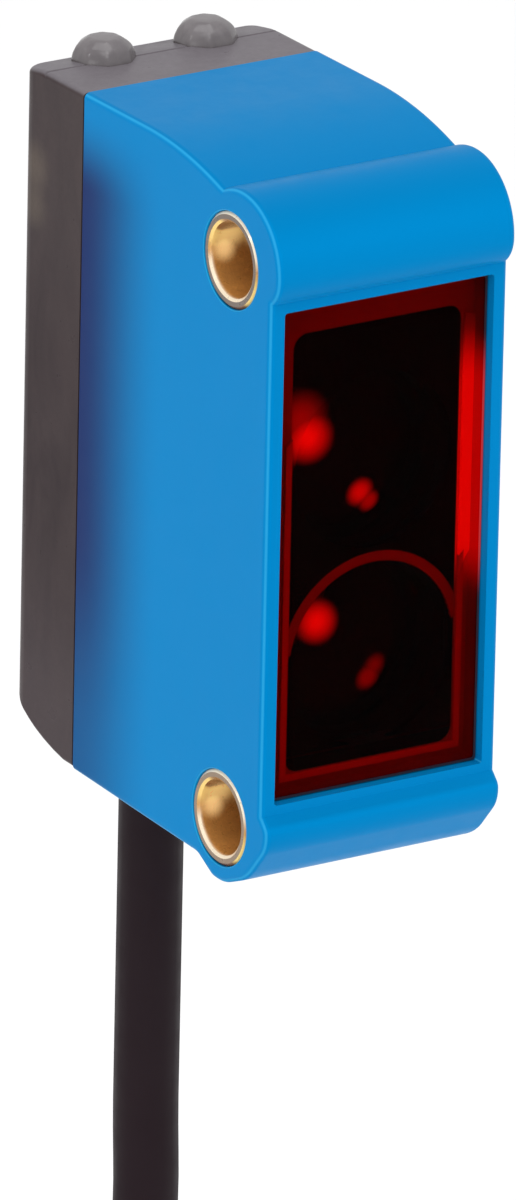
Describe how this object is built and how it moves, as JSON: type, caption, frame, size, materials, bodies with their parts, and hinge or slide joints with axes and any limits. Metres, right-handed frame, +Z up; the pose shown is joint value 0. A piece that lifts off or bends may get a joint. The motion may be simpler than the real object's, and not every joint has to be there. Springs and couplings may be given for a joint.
{
  "type": "photoelectric sensor",
  "caption": "Slim photoelectric sensor: blue housing with a tall red front window, two through sleeves for screws, smoke-grey rear cover with indicator domes, and a coiled cable.",
  "frame": {"origin": "on the right side face, midway between the axes of the two mounting sleeves", "axes": "+X out of the right side face, along the sleeves; -Y the way the window looks; +Z up"},
  "size_m": [0.0215, 0.0502, 0.1134],
  "materials": {
    "blue_plastic": "fine-textured moulded plastic, satin",
    "smoke_plastic": "smoke-grey translucent moulded plastic, satin gloss",
    "red_window": "dark red polished filter plate",
    "brass": "turned brass, lightly tarnished",
    "rubber": "matt black rubber",
    "grey_silicone": "grey silicone, matt",
    "black_plastic": "black moulded plastic",
    "clear_lens": "clear polished plastic lens",
    "circuit_board": "green solder mask",
    "chip_epoxy": "black moulded epoxy",
    "tinned_steel": "tinned metal, satin",
    "capacitor_case": "amber moulded case",
    "white_plastic": "off-white moulded plastic",
    "led_green": "clear green-tinted epoxy",
    "led_yellow": "clear yellow-tinted epoxy",
    "cable_sheath": "black PVC sheath, satin",
    "tie_plastic": "black nylon",
    "core_brown": "PVC insulation",
    "core_white": "PVC insulation",
    "core_blue": "PVC insulation",
    "core_black": "PVC insulation"
  },
  "bodies": {
    "sensor": {"housing": "blue_plastic", "rear_cover": "smoke_plastic", "front_window": "red_window", "window_seal": "grey_silicone", "sleeve_upper": "brass", "sleeve_lower": "brass", "housing_seal": "rubber", "optics_carrier": "black_plastic", "emitter_lens": "clear_lens", "receiver_lens": "clear_lens", "main_board": "circuit_board", "emitter_led": "clear_lens", "receiver_photodiode": "chip_epoxy", "evaluation_chip": "chip_epoxy", "shield_can": "tinned_steel", "buffer_capacitor": "capacitor_case", "board_connector": "black_plastic", "rear_board": "circuit_board", "sensitivity_base": "white_plastic", "mode_base": "white_plastic", "status_led_green": "led_green", "status_led_yellow": "led_yellow", "output_driver": "chip_epoxy", "suppressor_diode": "chip_epoxy", "sensitivity_seal": "rubber", "mode_seal": "rubber", "cable_grommet": "rubber", "sheath_end": "cable_sheath", "cable_clamp": "tinned_steel", "core_brown": "core_brown", "core_white": "core_white", "core_blue": "core_blue", "core_black": "core_black", "cable": "cable_sheath", "cable_coil": "cable_sheath", "coil_tie_upper": "tie_plastic", "coil_tie_lower": "tie_plastic", "lead_brown": "core_brown", "lead_white": "core_white", "lead_blue": "core_blue", "lead_black": "core_black", "ferrule_brown": "tinned_steel", "ferrule_white": "tinned_steel", "ferrule_blue": "tinned_steel", "ferrule_black": "tinned_steel"},
    "sensitivity_rotor": {"sensitivity_adjuster": "white_plastic"},
    "mode_rotor": {"mode_selector": "white_plastic"}
  },
  "joints": [
    {"name": "sensitivity_turn", "type": "hinge", "parent": "sensor", "child": "sensitivity_rotor", "pos_m": [-0.006, 0.0168, 0.0086], "axis": [0, -1, 0], "range_deg": [-135, 135]},
    {"name": "mode_turn", "type": "hinge", "parent": "sensor", "child": "mode_rotor", "pos_m": [-0.006, 0.0168, 0.0026], "axis": [0, -1, 0], "range_deg": [0, 180]}
  ]
}
